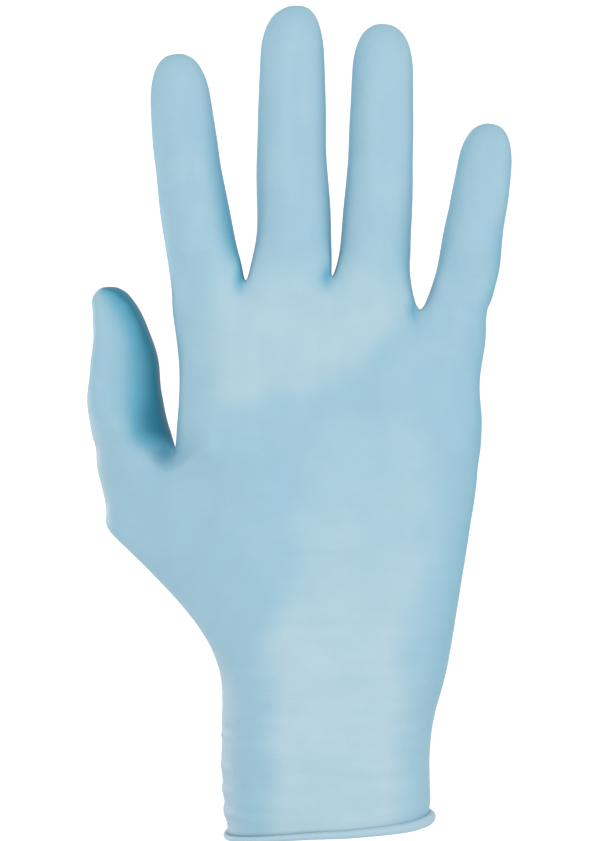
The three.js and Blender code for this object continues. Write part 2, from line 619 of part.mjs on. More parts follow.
const outward = normals();
const outerCount = points.length;
const outerQuads = quads.length;
for (let n = 0; n < outerCount; n++) add(points[n].clone().addScaledVector(outward[n], -FILM));
for (const [a, b, c, d] of quads.slice(0, outerQuads))
  quads.push([a + outerCount, d + outerCount, c + outerCount, b + outerCount]);

// The bead runs round the rim from the film's outside to its inside.
const rim = heel[0];
const beadRings = [];
const radius = BEAD / 2;
const startAngle = Math.acos(-BEAD_STANDS_OUT / radius);
const endAngle = -Math.acos(Math.max(-1, -(BEAD_STANDS_OUT + FILM) / radius));
for (let n = 1; n <= BEAD_RINGS; n++) {
  const angle = mix(startAngle, endAngle, n / (BEAD_RINGS + 1));
  beadRings.push(
    addRing(
      rim.map((index) => {
        const side = outward[index].clone().setZ(0).normalize();
        const point = points[index].clone();
        point.addScaledVector(side, BEAD_STANDS_OUT + radius * Math.cos(angle));
        point.z += radius * (Math.sin(angle) - Math.sin(startAngle));
        return point;
      }),
    ),
  );
}
const rimInside = rim.map((index) => index + outerCount);
[rim, ...beadRings].forEach((ring, n, all) => stitch(all[n + 1] ?? rimInside, ring));

// Each face of the net is cut along its shorter diagonal.
function trianglesOf([a, b, c, d]) {
  const ac = points[a].distanceTo(points[c]);
  const bd = points[b].distanceTo(points[d]);
  return ac <= bd ? [a, b, c, a, c, d] : [a, b, d, b, c, d];
}

const geometry = new THREE.BufferGeometry();
geometry.setFromPoints(points);
geometry.setIndex(quads.flatMap(trianglesOf));
geometry.computeVertexNormals();

const nitrile = new THREE.MeshStandardMaterial({ color: 0xa6cbdb, roughness: 0.5, metalness: 0 });
const glove = new THREE.Mesh(geometry, nitrile);
glove.name = "glove_film";

const part = new THREE.Group();
part.add(glove);

export default part;
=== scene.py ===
"""A nitrile exam glove for the right side, in the form that it has when it is worn, dressed for the camera.

The film is a merged copy of the solid film's outside, made finer, creased and given a thin wall. The bead
is a roll along the film's open edge.
Metres, in the part's own frame: +Z to the fingertips, +X to the little finger, +Y to the palm side.
"""

import math

import bmesh
import bpy
import numpy as np
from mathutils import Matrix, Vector, noise


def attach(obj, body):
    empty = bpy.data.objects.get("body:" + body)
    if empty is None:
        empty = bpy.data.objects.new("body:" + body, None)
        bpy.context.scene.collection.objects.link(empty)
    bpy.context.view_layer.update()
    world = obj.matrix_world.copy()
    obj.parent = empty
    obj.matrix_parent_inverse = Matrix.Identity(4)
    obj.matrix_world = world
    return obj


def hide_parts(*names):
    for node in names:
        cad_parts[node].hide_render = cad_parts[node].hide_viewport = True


bl_info = {
    "name": "Nitrile exam glove",
    "version": (1, 0, 0),
    "blender": (4, 5, 0),
    "location": "3D View > Sidebar > Glove",
    "description": "Makes the film and the rolled bead of an exam glove, and the studio it stands in",
    "category": "Object",
}

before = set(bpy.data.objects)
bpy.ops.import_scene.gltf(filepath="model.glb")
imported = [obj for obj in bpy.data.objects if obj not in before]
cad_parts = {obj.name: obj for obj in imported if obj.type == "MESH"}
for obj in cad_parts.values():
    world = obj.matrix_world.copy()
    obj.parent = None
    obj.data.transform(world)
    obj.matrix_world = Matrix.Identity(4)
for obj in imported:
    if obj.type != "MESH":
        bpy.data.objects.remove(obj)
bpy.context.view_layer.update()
FILM_NODE = "glove_film"
MM = 0.001

# The least length that a direction is divided by.
TINY = 0.001

# The photograph's frame: its height in pixels, the size of a pixel at the glove's middle plane, and the
# camera's place, distance and sensor width.
IMAGE_HIGH = 841
MM_PER_PIXEL = 0.2885
CAMERA_X = -0.0078
CAMERA_Z = 0.1204
CAMERA_AWAY = 0.9
SENSOR = 36.0

# The finer net: how near two points are merged, how much two triangles may bend or skew to make one
# quad, and the rounds that keep its size.
MERGE = 0.00001
QUAD_BEND = math.radians(60)
KEEP_ROUNDS = 4

# The film's outside ends at the corner above the bead, which is below this height and sharper than this.
RIM_ZONE = 0.014
RIM_CORNER = math.radians(52)

# The roll's centre lies this far out from the film, at the thin side this share of it, and this far
# below the film's open edge. Growth says how late the roll gets thick towards the little finger.
BEAD_OUT = 0.0005
BEAD_OUT_LEAST = 0.6
BEAD_DROP = 0.00144
BEAD_GROWTH = 1.4

# How far the film reaches down inside the roll.
FILM_TUCK = 0.0018

# The rim's width, and how much higher it is at the little finger's side.
CUFF_WIDTH = 0.0598
RIM_RISE = 0.0049

# Middles of the webs between the fingers: x and z.
WEBS = ((-0.0234, 0.1607), (0.0014, 0.162), (0.0263, 0.1523))

# The film below the thumb's crotch, where its depth is evened out: x and z, and how far this reaches.
CROTCH_FOOT = (-0.045, 0.099)
CROTCH_REACH = 0.026

# The little finger's outer side where it leaves the palm, which is rounded off: x and z, and its reach.
LITTLE_ROOT = (0.0465, 0.154)
LITTLE_REACH = 0.012

# How much of its reach such a place takes up before it starts to fade.
NEAR_FULL = 0.3

# How depths are evened out: the share of the way in one round, the rounds under the crotch and the webs
# and at the little finger's root, where this ends below the crotch, and how far the film has to face back.
EVEN_PULL = 0.8
EVEN_ROUNDS = 120
ROOT_ROUNDS = 10
FOOT_TOP = (0.106, 0.111)
FACING_BACK = (0.5, 0.8)

# Zones of the film, by height or place across: a zone rises between its first two places and falls
# between its last two.
EVEN_KNUCKLES = (0.118, 0.130, 0.156, 0.170)
KNUCKLE_SIDES = (-0.038, -0.027, 0.020, 0.034)
THUMB_HEIGHT = (0.109, 0.118, 0.161, 0.166)
INDEX_HEIGHT = (0.150, 0.172, 0.185, 0.215)
WEB_ZONE = (0.148, 0.158, 0.166, 0.190)

# Borders between zones: nought before the first place, one after the second.
FINGERS_FROM = (0.150, 0.172)
THUMB_FROM = (0.040, 0.046)
THUMB_TIP = (0.143, 0.156)
THUMB_FOOT = (0.106, 0.138)
INDEX_FROM = (0.018, 0.024)
LITTLE_SIDE = (0.024, 0.034)
CUFF_FADE = (0.05, 0.10)
LINES_FADE = (0.10, 0.16)
GATHER_SIDE = (-0.005, 0.024)
GATHER_TOP = (0.026, 0.05)
RIM_CLEAR = (0.0032, 0.0072)
SOFT = (-0.006, 0.006)

# Borders in how far the film faces: sideways for a flank's painted shade, nearly edge on for the painted
# shade of the outline, backwards for the back, forwards for the palm side, and towards the thumb's side for
# the painted rim highlight.
SIDEWAYS = (0.25, 0.9)
OUTLINE = (0.75, 1.0)
BACKWARDS = (-0.2, 0.4)
FORWARDS = (0.0, 0.5)
HIGHLIGHT_FACING = (0.55, 1.0)

# The pale band up the back of the wrist and the palm, in millimetres: partly film stretched thin, partly
# painted light.
# Columns: z, the left border, the right border, how pale it is.
BAND = np.array([
    (0, -15, 21, 0.85),
    (57, -16.5, 22, 0.95),
    (71, -9, 27, 0.65),
    (98, -7, 31, 0.42),
    (116, -3, 30, 0.35),
    (124, -2, 29, 0.0),
])

# The lower border of the pale film over the knuckles, partly stretched thin and partly painted light, in
# millimetres. Columns: x, z.
KNUCKLE_LOW = np.array([(-34, 126), (-8, 127), (2, 134), (28, 151)])

# How much more uneven that border is than the band's, and how wide the palm side's pale middle is.
KNUCKLE_UNEVEN = 2
PALM_WIDE = 0.034

# Shares of the pale colour, for stretched film and painted light, and of the painted shade, in each zone.
THIN_AND_LIT = {"knuckles": 0.62, "palm side": 0.4, "fingers": 0.16, "back": 0.12}
PAINTED_SHADE = {"flank": 0.1, "side": 0.14, "outline": 0.15, "index": 0.3, "webs": 0.15, "marks": 0.45}

# Painted shade on the thumb's side towards the palm. Columns: share, and the slopes between which it sets in.
# Tip slope says how much an upward slope counts at the tip.
THUMB_SHADE = ((0.2, -0.3, 0.1), (0.8, -0.08, 0.48))
TIP_SLOPE = 0.6

# The point of that painted shade under the crotch: x and z, its reach across and along, its share, and how
# far the film may face forwards there.
CROTCH_POINT = (-0.0468, 0.1115)
CROTCH_SHADE = (0.0028, 0.0035)
CROTCH_DARK = 0.45
CROTCH_FACING = 0.3

# The small painted shadow left of each web: how far left and below, how wide and how tall.
WEB_SHADOW_PLACE = (0.0016, 0.0005)
WEB_SHADOW_SIZE = (0.0017, 0.0032)

# The painted rim highlight at the thumb's side, on the thumb's base and the cuff: the middle and reach of its
# upper part, how far out that part is, where the lower part ends, and the share of both.
HIGHLIGHT_MIDDLE = 0.108
HIGHLIGHT_REACH = 0.02
HIGHLIGHT_SIDE = (0.048, 0.058)
HIGHLIGHT_TOP = (0.03, 0.078)
HIGHLIGHT_SHARE = 0.62

# Uneven places of the film. Columns: stretch across and along, size in metres, seed, strength: in
# millimetres for depths, in metres for the border, and else in shares of a colour.
RIPPLES = {
    "slow": (1.0, 2.6, 0.012, 1, 0.04),
    "fine": (0.35, 3.2, 0.0048, 2, 0.036),
    "loose": (0.5, 1.0, 0.016, 3, 0.07),
    "gather": (0.25, 4.2, 0.0075, 4, 0.3),
    "soft": (1.0, 1.0, 0.008, 5, 0.025),
    "patches": (1.0, 1.0, 0.0105, 11, 0.14),
    "border": (1.0, 1.0, 0.011, 12, 0.003),
    "drawn up": (2.2, 0.45, 0.009, 13, 0.16),
    "drawn round": (0.4, 2.4, 0.007, 14, 0.22),
}

# The share of the fine ripples that is left above the cuff.
FINE_LEAST = 0.25

# How far the roll's colour goes to the stretched film's, and how strongly the mottle darkens a colour.
ROLL_PALE = 0.7
MOTTLE_SHARE = 0.12

# The lights' places and sizes, the point they shine at, and the sky's colour.
LIGHTS = {
    "key": ((-0.5, -1.2, 0.7), 1.1),
    "fill": ((1.3, -0.9, 0.3), 1.2),
    "rim": ((-1.0, 0.75, -0.015), 0.5),
}
AIM = Vector((0, 0, 0.12))
SKY = (0.93, 0.97, 1.0, 1)

# The floor's bowl: its height, its corners, how far away its wall is, the radius and the steps of the
# wall's curve, and how high the wall is above that.
FLOOR_LOW = -0.025
FLOOR_CORNERS = 96
WALL_AWAY = 3.0
WALL_CURVE = 1.0
CURVE_STEPS = 8
WALL_HIGH = 3.0

# Soft folds and sharp creases of the film, in millimetres. Side is the side of the glove, x and z the
# middle of the fold, turn its slope in degrees, long and wide its size, deep how far it goes in, and bow
# how far its middle hangs below its ends.
# Columns: side, x, z, turn, long, wide, deep, bow.
FOLDS = [
    # Creases over the middle finger's joints.
    ("back", -4.2, 200.3, 6, 8, 0.9, 0.3, 0.4),
    ("back", -3.2, 197.6, -4, 6, 0.7, 0.22, 0.3),
    ("back", -4.4, 189.6, 4, 9, 0.9, 0.32, 0.5),
    ("back", -3.0, 186.2, -3, 8, 0.8, 0.26, 0.4),
    ("back", -3.8, 182.9, 8, 7, 0.8, 0.24, 0.3),
    # Faint marks at the knuckles and on the glove's back.
    ("back", -8.6, 155.9, -12, 5, 0.7, 0.26, 0.2),
    ("back", -6.5, 153.8, 10, 6, 0.7, 0.2, 0.2),
    ("back", 0.8, 82.2, 2, 23, 0.9, 0.24, 0.9),
    ("back", 6.5, 79.6, -3, 14, 0.9, 0.18, 0.5),
    # Joints of the fingers on the palm side.
    ("front", -38.5, 181.0, 8, 15, 1.3, 0.55, 1.2),
    ("front", -42.0, 203.0, 8, 14, 1.1, 0.42, 1.0),
    ("front", -10.2, 186.0, -1, 15, 1.3, 0.58, 1.2),
    ("front", -9.4, 212.0, -1, 14, 1.1, 0.42, 1.0),
    ("front", 14.4, 184.0, -2, 15, 1.3, 0.55, 1.2),
    ("front", 15.2, 209.0, -2, 14, 1.1, 0.42, 1.0),
    ("front", 39.8, 172.0, -11, 13, 1.2, 0.48, 1.0),
    ("front", 43.6, 190.0, -11, 12, 1.0, 0.38, 0.9),
    ("front", -58.5, 138.0, 6, 15, 1.2, 0.42, 1.1),
]

# A fold's raised lips: how far from its middle and how wide, in widths of the groove, and how high, as a
# share of its depth. Then how blunt its ends are, how much of its bow lies below its own x and z, and how
# far the film has to face the fold's side.
LIP_AWAY = 2.1
LIP_WIDE = 1.4
LIP_HIGH = 0.45
END_BLUNT = 0.75
BOW_BELOW = 0.5
FOLD_FACING = (0.05, 0.35)


def step(value, low, high):
    """Nought below low, one above high, and a smooth rise between them."""
    t = np.clip((value - low) / (high - low), 0.0, 1.0)
    return t * t * (3.0 - 2.0 * t)


def zone(value, borders):
    """One between the two middle borders, nought outside the outer ones."""
    low, full, still, gone = borders
    return step(value, low, full) * (1 - step(value, still, gone))


def bell(value, wide):
    """One at nought, and a smooth fall on both sides."""
    return np.exp(-((value / wide) ** 2))


def near(x, z, middle, reach):
    """One near a place of the glove, seen from the back, and nought beyond its reach."""
    return 1 - step(np.hypot(x - middle[0], z - middle[1]), NEAR_FULL * reach, reach)


def spot(x, z, middle, size):
    """A soft spot of the glove, seen from the back, with its reach across and along."""
    return bell(x - middle[0], size[0]) * bell(z - middle[1], size[1])


def to_object_mode():
    active = bpy.context.view_layer.objects.active
    if active is not None and active.mode != "OBJECT":
        bpy.ops.object.mode_set(mode="OBJECT")


def only(piece):
    """Makes one piece the selected and active one."""
    to_object_mode()
    bpy.ops.object.select_all(action="DESELECT")
    piece.select_set(True)
    bpy.context.view_layer.objects.active = piece


def apply(piece, kind, **settings):
    """Adds a modifier with these settings and applies it."""
    only(piece)
    modifier = piece.modifiers.new(kind.title(), kind)
    for key, value in settings.items():
        setattr(modifier, key, value)
    bpy.ops.object.modifier_apply(modifier=modifier.name)


def points_of(piece):
    flat = np.empty(len(piece.data.vertices) * 3)
    piece.data.vertices.foreach_get("co", flat)
    return flat.reshape(-1, 3)


def normals_of(piece):
    flat = np.empty(len(piece.data.vertices) * 3, np.float32)
    piece.data.vertex_normals.foreach_get("vector", flat)
    return flat.reshape(-1, 3).astype(float)


def move_points(piece, places):
    piece.data.vertices.foreach_set("co", places.ravel())
    piece.data.update()


def mottle(places, size, seed):
    """Smooth noise from minus one to one, with patches of this size."""
    shift = Vector((seed * 7.31, seed * 3.77, seed * 5.19))
    return np.array([noise.noise(Vector(p) / size + shift) for p in places])


def ripple(places, kind):
    """One row of the uneven places."""
    across, along, size, seed, strength = RIPPLES[kind]
    return strength * mottle(places * (across, across, along), size, seed)


def write_mask(piece, name, values):
    layer = piece.data.attributes.new(name, "FLOAT", "POINT")
    layer.data.foreach_set("value", values.astype(np.float32))


# The film.


def merged_copy():
    """A copy of the solid film with its points merged and its triangles paired, left in edit mode."""
    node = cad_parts[FILM_NODE]
    skin = bpy.data.objects.new("glove_skin", node.data.copy())
    bpy.context.scene.collection.objects.link(skin)
    skin.data.materials.clear()
    only(skin)
    bpy.ops.object.mode_set(mode="EDIT")
    bpy.ops.mesh.customdata_custom_splitnormals_clear()
    bpy.ops.mesh.select_all(action="SELECT")
    bpy.ops.mesh.remove_doubles(threshold=MERGE)
    bpy.ops.mesh.tris_convert_to_quads(face_threshold=QUAD_BEND, shape_threshold=QUAD_BEND)
    return skin


def outer_faces(net):
    """The faces that are reached from the topmost one without crossing the corner above the bead."""
    top = max(net.faces, key=lambda face: face.calc_center_median().z)
    found = {top}
    front = [top]
    while front:
        face = front.pop()
        for edge in face.edges:
            low = max(corner.co.z for corner in edge.verts) < RIM_ZONE
            if low and edge.calc_face_angle(math.pi) > RIM_CORNER:
                continue
            for other in edge.link_faces:
                if other not in found:
                    found.add(other)
                    front.append(other)
    return found


def film_outside():
    """A merged copy of the solid film, with only its outside above the bead left."""
    skin = merged_copy()
    bpy.ops.mesh.select_mode(type="FACE")
    bpy.ops.mesh.select_all(action="DESELECT")
    net = bmesh.from_edit_mesh(skin.data)
    kept = outer_faces(net)
    for face in net.faces:
        face.select_set(face not in kept)
    bmesh.update_edit_mesh(skin.data)
    bpy.ops.mesh.delete(type="FACE")
    bpy.ops.object.mode_set(mode="OBJECT")
    return skin


def limit_place(point):
    """Where a net's point ends up once the net is subdivided for ever."""
    count = len(point.link_edges)
    faces = [face.calc_center_median() for face in point.link_faces]
    zero = Vector()
    middles = [(point.co + edge.other_vert(point).co) / 2 for edge in point.link_edges]
    beside = [sum((face.calc_center_median() for face in edge.link_faces), zero) for edge in point.link_edges]
    edges = [(2 * middle + centres) / 4 for middle, centres in zip(middles, beside)]
    moved = (sum(faces, zero) / count + 2 * sum(middles, zero) / count + (count - 3) * point.co) / count
    total = count * count * moved + 4 * sum(edges, zero) + sum(faces, zero)
    return total / (count * (count + 5))


def keep_size(skin, rounds):
    """Moves the net outwards so that the finer skin passes through the net's own points."""
    net = bmesh.new()
    net.from_mesh(skin.data)
    wanted = [point.co.copy() for point in net.verts]
    inner = [point for point in net.verts if not point.is_boundary]
    for _ in range(rounds):
        misses = [wanted[point.index] - limit_place(point) for point in inner]
        for point, miss in zip(inner, misses):
            point.co += miss
    net.to_mesh(skin.data)
    net.free()


def fold_depth(places, normals, fold):
    """How deep one fold goes at each place, in millimetres."""
    side, x, z, turn, long, wide, deep, bow = fold
    facing = normals[:, 1] * (1 if side == "front" else -1)
    dx = places[:, 0] / MM - x
    dz = places[:, 2] / MM - z
    slope = math.radians(turn)
    along = (dx * math.cos(slope) + dz * math.sin(slope)) / (long / 2)
    across = dz * math.cos(slope) - dx * math.sin(slope) - bow * (along * along - BOW_BELOW)
    ends = np.clip(1 - along * along, 0, 1) ** END_BLUNT
    away = LIP_AWAY * wide
    lips = bell(across - away, LIP_WIDE * wide) + bell(across + away, LIP_WIDE * wide)
    groove = bell(across, wide) - LIP_HIGH * lips
    return deep * groove * ends * step(facing, *FOLD_FACING)


def even_out(skin, weight, rounds, axes):
    """Draws each point towards the middle of its neighbours, as far as its weight says."""
    places = points_of(skin)
    ends = np.empty(len(skin.data.edges) * 2, np.int32)
    skin.data.edges.foreach_get("vertices", ends)
    low, high = ends.reshape(-1, 2).T
    count = np.bincount(ends, minlength=len(places))
    for _ in range(rounds):
        for axis in axes:
            value = places[:, axis]
            around = np.bincount(low, value[high], len(value)) + np.bincount(high, value[low], len(value))
            value += (around / count - value) * weight * EVEN_PULL
    move_points(skin, places)


def round_off(skin):
    """Evens out the film's depth under the thumb's crotch and the webs, and the little finger's root."""
    x, _, z = points_of(skin).T
    foot = near(x, z, CROTCH_FOOT, CROTCH_REACH) * (1 - step(z, *FOOT_TOP))
    knuckles = zone(z, EVEN_KNUCKLES) * step(-normals_of(skin)[:, 1], *FACING_BACK)
    even_out(skin, np.maximum(foot, knuckles), EVEN_ROUNDS, (1,))
    even_out(skin, near(x, z, LITTLE_ROOT, LITTLE_REACH), ROOT_ROUNDS, (0, 1))


def crease(skin):
    """Folds, gathers and tension lines of the film, as vertex moves along its normals."""
    places = points_of(skin)
    normals = normals_of(skin)
    x, _, z = places.T
    depth = sum(fold_depth(places, normals, fold) for fold in FOLDS)
    cuff = 1 - step(z, *CUFF_FADE)
    depth += (ripple(places, "slow") + ripple(places, "loose")) * cuff
    depth += ripple(places, "fine") * (FINE_LEAST + (1 - FINE_LEAST) * cuff) * (1 - step(z, *LINES_FADE))
    depth += ripple(places, "gather") * step(-x, *GATHER_SIDE) * (1 - step(z, *GATHER_TOP))
    depth += ripple(places, "soft")
    depth *= step(z - RIM_RISE * rim_share(x), *RIM_CLEAR)
    move_points(skin, places - normals * (depth * MM)[:, None])


def thin_and_lit_mask(places, normals):
    """Where the film is pale, partly drawn thin and partly painted light on faces turned to the front and the
    back: a band up the wrist, the knuckles, the fingers' fronts.
    """
    x, _, z = places.T
    facing = step(np.abs(normals[:, 1]), *FACING_BACK)
    back = step(-normals[:, 1], *BACKWARDS)
    fingers = step(z, *FINGERS_FROM)
    border = ripple(places, "border")
    left, right, pale = (np.interp(z / MM, BAND[:, 0], column) for column in BAND.T[1:])
    band = step(x - left * MM + border, *SOFT) * (1 - step(x - right * MM + border, *SOFT)) * pale
    low = np.interp(x / MM, *KNUCKLE_LOW.T) * MM
    above = step(z - low + KNUCKLE_UNEVEN * border, *SOFT)
    knuckles = zone(x, KNUCKLE_SIDES) * above * (1 - fingers)
    palm_side = bell(x, PALM_WIDE) * (1 - fingers)
    thin = back * np.maximum(band, THIN_AND_LIT["knuckles"] * knuckles) + (1 - back) * THIN_AND_LIT["palm side"] * palm_side
    thin += THIN_AND_LIT["fingers"] * fingers * facing
    thin += THIN_AND_LIT["back"] * facing * step(z, *LINES_FADE) * (1 - fingers) * (1 - step(x, *LITTLE_SIDE))
    thin += ripple(places, "drawn up") * step(z, *LINES_FADE) + ripple(places, "patches")
    thin += ripple(places, "drawn round") * (1 - step(z, *CUFF_FADE))
    return np.clip(thin, 0, 1)


def painted_shade_mask(places, normals):
    """Painted shade, darker and bluer: the thumb's side towards the palm, the flanks, the outline and the
    webs.
    """
    x, _, z = places.T
    across, forward, up = normals.T
    fingers = step(z, *FINGERS_FROM)
    sideways = step(across, *SIDEWAYS)
    edge = step(np.abs(across), *OUTLINE)
    slope = across + TIP_SLOPE * np.maximum(up, 0) * step(z, *THUMB_TIP)
    shade = sum(share * step(slope, low, high) for share, low, high in THUMB_SHADE)
    shade *= step(-x, *THUMB_FROM) * zone(z, THUMB_HEIGHT)
    shade *= 1 - step(forward, *FORWARDS) * (1 - step(z, *THUMB_FOOT))
    point = spot(x, z, CROTCH_POINT, CROTCH_SHADE) * (forward < CROTCH_FACING)
    shade = np.maximum(shade, CROTCH_DARK * point)
    zones = {
        "flank": fingers * edge,
        "side": step(x, *LITTLE_SIDE) * sideways * (1 - fingers),
        "outline": edge * step(z, *CUFF_FADE),
        "index": zone(z, INDEX_HEIGHT) * step(-x, *INDEX_FROM) * sideways,
        "webs": zone(z, WEB_ZONE) * sideways,
        # Small painted shadows beside the webs.
        "marks": sum(spot(x + WEB_SHADOW_PLACE[0], z + WEB_SHADOW_PLACE[1], web, WEB_SHADOW_SIZE) for web in WEBS),
    }
    return np.clip(shade + sum(PAINTED_SHADE[name] * share for name, share in zones.items()), 0, 1)


def rim_highlight_mask(places, normals):
    """A painted rim highlight: the pale edge of the thumb's base and of the cuff, at the thumb's side."""
    x, _, z = places.T
    upper = bell(z - HIGHLIGHT_MIDDLE, HIGHLIGHT_REACH) * step(-x, *HIGHLIGHT_SIDE)
    lower = 1 - step(z, *HIGHLIGHT_TOP)
    return HIGHLIGHT_SHARE * step(-normals[:, 0], *HIGHLIGHT_FACING) * np.clip(upper + lower, 0, 1)


def paint_masks(skin):
    """Writes how thin and lit the film is, where shade is painted and where a rim highlight is painted, for
    its material to read.
    """
    places = points_of(skin)
    normals = normals_of(skin)
    # The deep mask is the painted shade, and the thin mask holds stretched film and painted light.
    for name, mask in (("thin", thin_and_lit_mask), ("deep", painted_shade_mask), ("dusty", rim_highlight_mask)):
        write_mask(skin, name, mask(places, normals))


# Materials.


def new_material(name):
    material = bpy.data.materials.new(name)
    material.use_nodes = True
    nodes = material.node_tree.nodes
    nodes.clear()
    output = nodes.new("ShaderNodeOutputMaterial")
    return material, nodes, material.node_tree.links, output


def add(nodes, kind, values=None):
    """A new node with these values in its inputs."""
    node = nodes.new(kind)
    for name, value in (values or {}).items():
        node.inputs[name].default_value = value
    return node


def plug(links, value, socket):
    """Puts an output, a number or a colour into an input."""
    if isinstance(value, bpy.types.NodeSocket):
        links.new(value, socket)
    elif socket.type == "RGBA":
        socket.default_value = (*value, 1)
    else:
        socket.default_value = value


def blend(nodes, links, under, over, share, kind="MIX"):
    """Mixes one colour over another, as far as the share says."""
    mix = nodes.new("ShaderNodeMix")
    mix.data_type = "RGBA"
    mix.blend_type = kind
    plug(links, share, mix.inputs["Factor"])
    plug(links, under, mix.inputs["A"])
    plug(links, over, mix.inputs["B"])
    return mix.outputs["Result"]


def mask_between(nodes, links, name, low, high):
    """A mask of the piece, spread so that low gives nought and high gives one."""
    mask = nodes.new("ShaderNodeAttribute")
    mask.attribute_name = name
    spread = add(nodes, "ShaderNodeMapRange", {"From Min": low, "From Max": high})
    links.new(mask.outputs["Fac"], spread.inputs["Value"])
    return spread.outputs["Result"]


def film_grain_group():
    """Fine surface of dipped film: mottle for the colour and the gloss, and height for drawn lines."""
    group = bpy.data.node_groups.new("Film grain", "ShaderNodeTree")
    for name in ("Mottle", "Height"):
        group.interface.new_socket(name, in_out="OUTPUT", socket_type="NodeSocketFloat")
    nodes, links = group.nodes, group.links
    outputs = nodes.new("NodeGroupOutput")
    place = nodes.new("ShaderNodeTexCoord").outputs["Object"]
    mottled = add(nodes, "ShaderNodeTexNoise", {"Scale": 110, "Detail": 5, "Roughness": 0.7})
    links.new(place, mottled.inputs["Vector"])
    stretch = add(nodes, "ShaderNodeMapping", {"Scale": (0.22, 0.22, 1.0)})
    links.new(place, stretch.inputs["Vector"])
    lines = add(nodes, "ShaderNodeTexNoise", {"Scale": 900, "Detail": 4, "Roughness": 0.6})
    links.new(stretch.outputs["Vector"], lines.inputs["Vector"])
    grain = add(nodes, "ShaderNodeTexNoise", {"Scale": 3200, "Detail": 2})
    links.new(place, grain.inputs["Vector"])
    grain_share = 0.12
    height = nodes.new("ShaderNodeMath")
    height.operation = "MULTIPLY_ADD"
    for socket, value in zip(height.inputs, (grain.outputs["Fac"], grain_share, lines.outputs["Fac"])):
        plug(links, value, socket)
    links.new(mottled.outputs["Fac"], outputs.inputs["Mottle"])
    links.new(height.outputs[0], outputs.inputs["Height"])
    return group


def nitrile_material(name, settings, masks=True):
    """Dipped film: its colour follows the masks or stays even, and its gloss is soft and mottled."""
    material, nodes, links, output = new_material(name)
    shader = add(nodes, "ShaderNodeBsdfPrincipled", {"IOR": 1.5, "Specular IOR Level": 0.35})
    links.new(shader.outputs["BSDF"], output.inputs["Surface"])
    grain = nodes.new("ShaderNodeGroup")
    grain.node_tree = bpy.data.node_groups.get("Film grain") or film_grain_group()
    colour = settings.relaxed
    if masks:
        # Paler film and painted light first, then painted shade in two steps, then the painted rim highlight.
        layers = (
            ("thin", 0.0, 1.0, settings.stretched_and_lit),
            ("deep", 0.0, 0.5, settings.in_painted_shade),
            ("deep", 0.5, 1.0, settings.darkest_painted_shade),
            ("dusty", 0.0, 1.0, settings.dusty),
        )
        for mask, low, high, over in layers:
            colour = blend(nodes, links, colour, over, mask_between(nodes, links, mask, low, high))
    else:
        colour = blend(nodes, links, colour, settings.stretched_and_lit, ROLL_PALE)
    shaded = blend(nodes, links, colour, grain.outputs["Mottle"], MOTTLE_SHARE, "MULTIPLY")
    links.new(shaded, shader.inputs["Base Color"])
    mottle_to_gloss = {"From Min": 0.3, "From Max": 0.7, "To Min": 0.44, "To Max": 0.56}
    gloss = add(nodes, "ShaderNodeMapRange", mottle_to_gloss)
    links.new(grain.outputs["Mottle"], gloss.inputs["Value"])
    links.new(gloss.outputs["Result"], shader.inputs["Roughness"])
    bump = add(nodes, "ShaderNodeBump", {"Strength": 0.3, "Distance": 0.0002})
    links.new(grain.outputs["Height"], bump.inputs["Height"])
    links.new(bump.outputs["Normal"], shader.inputs["Normal"])
    return material


# The bead.


def rim_loop(skin):
    """Selects the open edge of the film, in edit mode."""
    only(skin)
    bpy.ops.object.mode_set(mode="EDIT")
    bpy.ops.mesh.select_mode(type="EDGE")
    bpy.ops.mesh.select_all(action="DESELECT")
    net = bmesh.from_edit_mesh(skin.data)
    for edge in net.edges:
        edge.select_set(edge.is_boundary)
    bmesh.update_edit_mesh(skin.data)


def finer_outside():
    """The film's outside, finer and still smooth."""
    skin = film_outside()
    keep_size(skin, KEEP_ROUNDS)
    apply(skin, "SUBSURF", levels=2, render_levels=2)
    return skin


def rim_share(x):
    """Nought at the thumb's side of the rim and one at the little finger's."""
    return np.clip(x / CUFF_WIDTH + 0.5, 0, 1)


def rolled_bead(settings):
    """A roll along the film's open edge: the edge becomes a curve, and the curve gets its thickness."""
    bead = finer_outside()
    outward = normals_of(bead) * (1, 1, 0)
    outward /= np.maximum(np.linalg.norm(outward, axis=1), TINY)[:, None]
    places = points_of(bead)
    share = rim_share(places[:, 0])
    radius = (settings.thin + (settings.thick - settings.thin) * share**BEAD_GROWTH) / 2
    down = BEAD_DROP + settings.thick / 2 - radius
    places += outward * (BEAD_OUT * (BEAD_OUT_LEAST + (1 - BEAD_OUT_LEAST) * share))[:, None]
    places[:, 2] -= down
    move_points(bead, places)
    rim_loop(bead)
    bpy.ops.mesh.select_mode(type="VERT")
    bpy.ops.mesh.select_all(action="INVERT")
    bpy.ops.mesh.delete(type="VERT")
    bpy.ops.object.mode_set(mode="OBJECT")
    bpy.ops.object.convert(target="CURVE")
    bead = bpy.context.object
    bead.data.bevel_depth = settings.thick / 2
    bead.data.bevel_resolution = 4
    thin = settings.thin / settings.thick
    for spline in bead.data.splines:
        for point in spline.points:
            share = float(rim_share(point.co.x))
            point.radius = thin + (1 - thin) * share**BEAD_GROWTH
    bpy.ops.object.convert(target="MESH")
    bead = bpy.context.object
    bead.name = "rolled_bead"
    return bead


